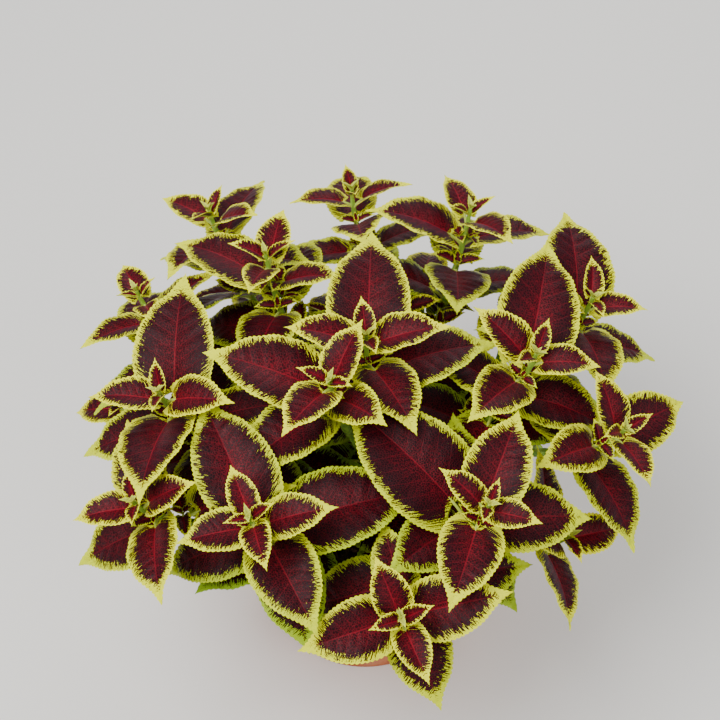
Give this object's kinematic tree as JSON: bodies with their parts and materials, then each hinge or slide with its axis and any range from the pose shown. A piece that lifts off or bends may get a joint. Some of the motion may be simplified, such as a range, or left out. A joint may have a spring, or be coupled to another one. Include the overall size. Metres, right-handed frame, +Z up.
{
  "type": "potted coleus plant",
  "caption": "Bushy coleus in a plain clay pot: square stalks, toothed dark red leaves edged in yellow-green, standing in soil.",
  "frame": {"origin": "middle of the pot's flat underside, on the surface that it stands on", "axes": "+Z up; -Y towards the light and towards the picture's camera, +X to that camera's right"},
  "size_m": [0.4479, 0.4581, 0.3446],
  "materials": {
    "clay": "matte",
    "compost": "matte",
    "foliage": "satin"
  },
  "bodies": {
    "root": {"pot": "clay", "soil": "compost", "stem_centre": "foliage", "stem_left": "foliage", "stem_back_left": "foliage", "stem_back": "foliage", "stem_right": "foliage", "stem_back_right": "foliage", "stem_front_right": "foliage", "stem_front_left": "foliage"}
  },
  "joints": []
}
